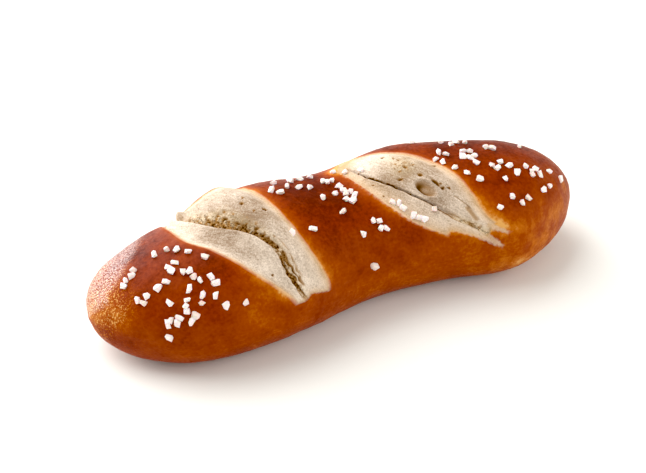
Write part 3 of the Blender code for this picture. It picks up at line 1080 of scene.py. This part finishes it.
def strewing_tree():
    """Geometry nodes that set a crystal on each placed point and strew more where the loaf is salted."""
    tree = bpy.data.node_groups.new("strew_salt", "GeometryNodeTree")
    tree.interface.new_socket("Geometry", in_out="OUTPUT", socket_type="NodeSocketGeometry")
    for name, kind in (
        ("Geometry", "Geometry"),
        ("Loaf", "Object"),
        ("Crystals", "Collection"),
        ("Grain", "Float"),
        ("Sunk", "Float"),
        ("Density", "Float"),
        ("Apart", "Float"),
        ("Seed", "Int"),
        ("Salt", "Material"),
    ):
        tree.interface.new_socket(name, in_out="INPUT", socket_type="NodeSocket" + kind)
    given = add(tree, "NodeGroupInput")
    named = "GeometryNodeInputNamedAttribute"
    store = "GeometryNodeStoreNamedAttribute"
    vector = {"data_type": "FLOAT_VECTOR"}

    # The points that salt fell on by itself, and the placed ones.
    loaf = add(tree, "GeometryNodeObjectInfo", None, {"Object": (given, "Loaf")})
    strewn = add(tree, named, {"data_type": "FLOAT"}, {"Name": "strewn"})
    fallen = add(
        tree,
        "GeometryNodeDistributePointsOnFaces",
        {"distribute_method": "POISSON"},
        {
            "Mesh": (loaf, "Geometry"),
            "Distance Min": (given, "Apart"),
            "Density Max": (given, "Density"),
            "Density Factor": strewn,
            "Seed": (given, "Seed"),
        },
    )
    links = {"Geometry": (fallen, "Points"), "Name": "facing", "Value": (fallen, "Normal")}
    fallen = add(tree, store, {**vector, "domain": "POINT"}, links)
    placed = add(tree, "GeometryNodeMeshToPoints", None, {"Mesh": (given, "Geometry")})
    both = add(tree, "GeometryNodeJoinGeometry", None, {"Geometry": fallen})
    feed(tree, both, {"Geometry": placed})

    # Each grain is sunk into the crust by a share of its length.
    facing = add(tree, named, vector, {"Name": "facing"})
    links = {0: HALF_THICKNESS, 1: (given, "Sunk")}
    half = add(tree, "ShaderNodeMath", {"operation": "SUBTRACT"}, links)
    lift = add(tree, "ShaderNodeMath", {"operation": "MULTIPLY"}, {0: half, 1: (given, "Grain")})
    offset = add(tree, "ShaderNodeVectorMath", {"operation": "SCALE"}, {"Vector": facing, "Scale": lift})
    lifted = add(tree, "GeometryNodeSetPosition", None, {"Geometry": both, "Offset": offset})

    # It leans and is turned by chance, and so are its size and its kind of crystal chosen.
    each = add(tree, "GeometryNodeInputIndex")
    upright = add(tree, "FunctionNodeAlignRotationToVector", {"axis": "Z"}, {"Vector": facing})
    lean = (TILT, TILT, FULL_TURN)
    links = {"Min": (-TILT, -TILT, 0.0), "Max": lean, "ID": each, "Seed": (given, "Seed")}
    spin = add(tree, "FunctionNodeRandomValue", vector, links)
    spin = add(tree, "FunctionNodeEulerToRotation", None, {"Euler": spin})
    links = {"Rotation": upright, "Rotate By": spin}
    turned = add(tree, "FunctionNodeRotateRotation", {"rotation_space": "LOCAL"}, links)
    links = {"Min": SMALLEST, "Max": LARGEST, "ID": each, "Seed": SIZE_SEED}
    uneven = add(tree, "FunctionNodeRandomValue", vector, links)
    links = {"Vector": uneven, "Scale": (given, "Grain")}
    size = add(tree, "ShaderNodeVectorMath", {"operation": "SCALE"}, links)
    links = {"Collection": (given, "Crystals"), "Separate Children": True, "Reset Children": True}
    crystals = add(tree, "GeometryNodeCollectionInfo", None, links)
    links = {"Min": 0, "Max": LAST_PICK, "ID": each, "Seed": KIND_SEED}
    kind = add(tree, "FunctionNodeRandomValue", {"data_type": "INT"}, links)

    # The crystals are set there, and how milky each one is goes into its mesh.
    links = {
        "Points": lifted,
        "Instance": crystals,
        "Pick Instance": True,
        "Instance Index": kind,
        "Rotation": turned,
        "Scale": size,
    }
    grains = add(tree, "GeometryNodeInstanceOnPoints", None, links)
    links = {"ID": each, "Seed": MILKY_SEED}
    milky = add(tree, "FunctionNodeRandomValue", {"data_type": "FLOAT"}, links)
    links = {"Geometry": grains, "Name": "milky", "Value": milky}
    grains = add(tree, store, {"data_type": "FLOAT", "domain": "INSTANCE"}, links)
    real = add(tree, "GeometryNodeRealizeInstances", None, {"Geometry": grains})
    links = {"Geometry": real, "Material": (given, "Salt")}
    finished = add(tree, "GeometryNodeSetMaterial", None, links)
    add(tree, "NodeGroupOutput", None, {"Geometry": finished})
    return tree


def made_real(source, name):
    """The evaluated object as a plain mesh piece; the source is removed."""
    graph = bpy.context.evaluated_depsgraph_get()
    mesh = bpy.data.meshes.new_from_object(source.evaluated_get(graph))
    mesh.name = name
    bpy.data.objects.remove(source)
    return linked(name, mesh)


class STICK_OT_strew_salt(bpy.types.Operator):
    """Set coarse salt grains on the loaf"""

    bl_idname = "stick.strew_salt"
    bl_label = "Strew Salt"

    def execute(self, context):
        salt = context.scene.pretzel_salt
        loaf = bpy.data.objects["loaf"]
        origin, right, up, back = view_axes(context.scene.pretzel_stage)
        to_frame = context.scene.pretzel_stage.lens / SENSOR_WIDTH * FRAME_WIDTH
        context.view_layer.update()
        places = []
        facings = []
        for x, y in (*SALT_ON_LEFT_END, *SALT_IN_MIDDLE, *SALT_ON_CRUMB, *SALT_ON_RIGHT_END):
            ray = right * (x - FRAME_WIDTH / 2) + up * (FRAME_HEIGHT / 2 - y) - back * to_frame
            hit, place, facing, _ = loaf.ray_cast(origin, ray.normalized())
            if not hit:
                self.report({"WARNING"}, f"no loaf under the grain at {x}, {y}")
                continue
            places.append(place)
            facings.append(facing)
        mesh = bpy.data.meshes.new("salt_places")
        mesh.from_pydata(places, [], [])
        layer = mesh.attributes.new("facing", "FLOAT_VECTOR", "POINT")
        layer.data.foreach_set("vector", np.array(facings, np.float32).ravel())
        source = linked("salt_places", mesh)
        crystals = salt_crystals()
        material = salt_material(salt)
        modifier = source.modifiers.new("strew", "NODES")
        modifier.node_group = strewing_tree()
        values = {
            "Loaf": loaf,
            "Crystals": crystals,
            "Grain": salt.grain,
            "Sunk": salt.sunk,
            "Density": salt.strewn,
            "Apart": salt.apart,
            "Seed": salt.seed,
            "Salt": material,
        }
        for socket in modifier.node_group.interface.items_tree:
            if socket.name in values:
                modifier[socket.identifier] = values[socket.name]
        piece = made_real(source, "salt")
        for crystal in list(crystals.objects):
            bpy.data.objects.remove(crystal)
        bpy.data.collections.remove(crystals)
        if not piece.data.polygons:
            raise RuntimeError("no salt grain was made")
        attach(piece, "root")
        return {"FINISHED"}


def floor_material(stage):
    """Matt white studio board: painted flat, so it shows soft shadows and no reflection."""
    values = {
        "Base Color": (*stage.floor_white, 1.0),
        "Roughness": 1.0,
        "Specular IOR Level": 0.0,
        "Emission Color": (1.0, 1.0, 1.0, 1.0),
        "Emission Strength": stage.floor_glow,
    }
    material, _, _ = shaded("white_studio_board", values)
    return material


def soft_lamp(name, place, watts, width, height):
    """A soft box that looks at the loaf."""
    lamp = bpy.data.lights.new(name, "AREA")
    lamp.shape = "RECTANGLE"
    lamp.energy = watts
    lamp.size = width
    lamp.size_y = height
    holder = linked(name, lamp)
    holder.location = place
    holder.rotation_euler = (-Vector(place)).to_track_quat("-Z", "Y").to_euler()


class STICK_OT_set_stage(bpy.types.Operator):
    """Lay the white floor and set up the lights and the camera"""

    bl_idname = "stick.set_stage"
    bl_label = "Set Stage"

    def execute(self, context):
        scene = context.scene
        stage = scene.pretzel_stage
        shape = bmesh.new()
        bmesh.ops.create_grid(shape, x_segments=1, y_segments=1, size=stage.floor_size / 2)
        bmesh.ops.translate(shape, verts=shape.verts, vec=(0, 0, -stage.floor_gap))
        mesh = mesh_from(shape, "floor")
        mesh.materials.append(floor_material(stage))
        linked("floor", mesh)

        world = bpy.data.worlds.new("studio")
        world.use_nodes = True
        sky = world.node_tree.nodes["Background"]
        feed(world.node_tree, sky, {"Strength": stage.sky, "Color": (*stage.sky_tint, 1.0)})
        scene.world = world
        for name, (place, width, height) in LAMPS.items():
            soft_lamp(name, place, getattr(stage, name), width, height)

        place, right, up, back = view_axes(stage)
        camera = bpy.data.cameras.new("camera")
        camera.lens = stage.lens
        camera.sensor_width = SENSOR_WIDTH
        holder = linked("camera", camera)
        turned = Matrix((right, up, back)).transposed().to_4x4()
        holder.matrix_world = Matrix.Translation(place) @ turned
        scene.camera = holder
        view = scene.view_settings
        view.view_transform = "Standard"
        view.use_curve_mapping = True
        view.curve_mapping.black_level = (stage.black, stage.black, stage.black)
        view.curve_mapping.update()
        return {"FINISHED"}


class STICK_PT_panel(bpy.types.Panel):
    """The stick's steps and settings"""

    bl_label = "Pretzel Stick"
    bl_idname = "STICK_PT_panel"
    bl_space_type = "VIEW_3D"
    bl_region_type = "UI"
    bl_category = "Pretzel"

    def draw(self, context):
        for step, settings in (
            (STICK_OT_bake_loaf, context.scene.pretzel_loaf),
            (STICK_OT_strew_salt, context.scene.pretzel_salt),
            (STICK_OT_set_stage, context.scene.pretzel_stage),
        ):
            box = self.layout.box()
            box.operator(step.bl_idname)
            for name in settings.__annotations__:
                box.prop(settings, name)


SETTINGS = {"pretzel_loaf": LoafSettings, "pretzel_salt": SaltSettings, "pretzel_stage": StageSettings}
CLASSES = (*SETTINGS.values(), STICK_OT_bake_loaf, STICK_OT_strew_salt, STICK_OT_set_stage, STICK_PT_panel)


def register():
    for item in CLASSES:
        bpy.utils.register_class(item)
    for name, settings in SETTINGS.items():
        setattr(bpy.types.Scene, name, PointerProperty(type=settings))


def unregister():
    for name in SETTINGS:
        delattr(bpy.types.Scene, name)
    for item in reversed(CLASSES):
        bpy.utils.unregister_class(item)


def main():
    register()
    bpy.ops.stick.bake_loaf()
    bpy.ops.stick.strew_salt()
    bpy.ops.stick.set_stage()


if __name__ == "__main__":
    main()
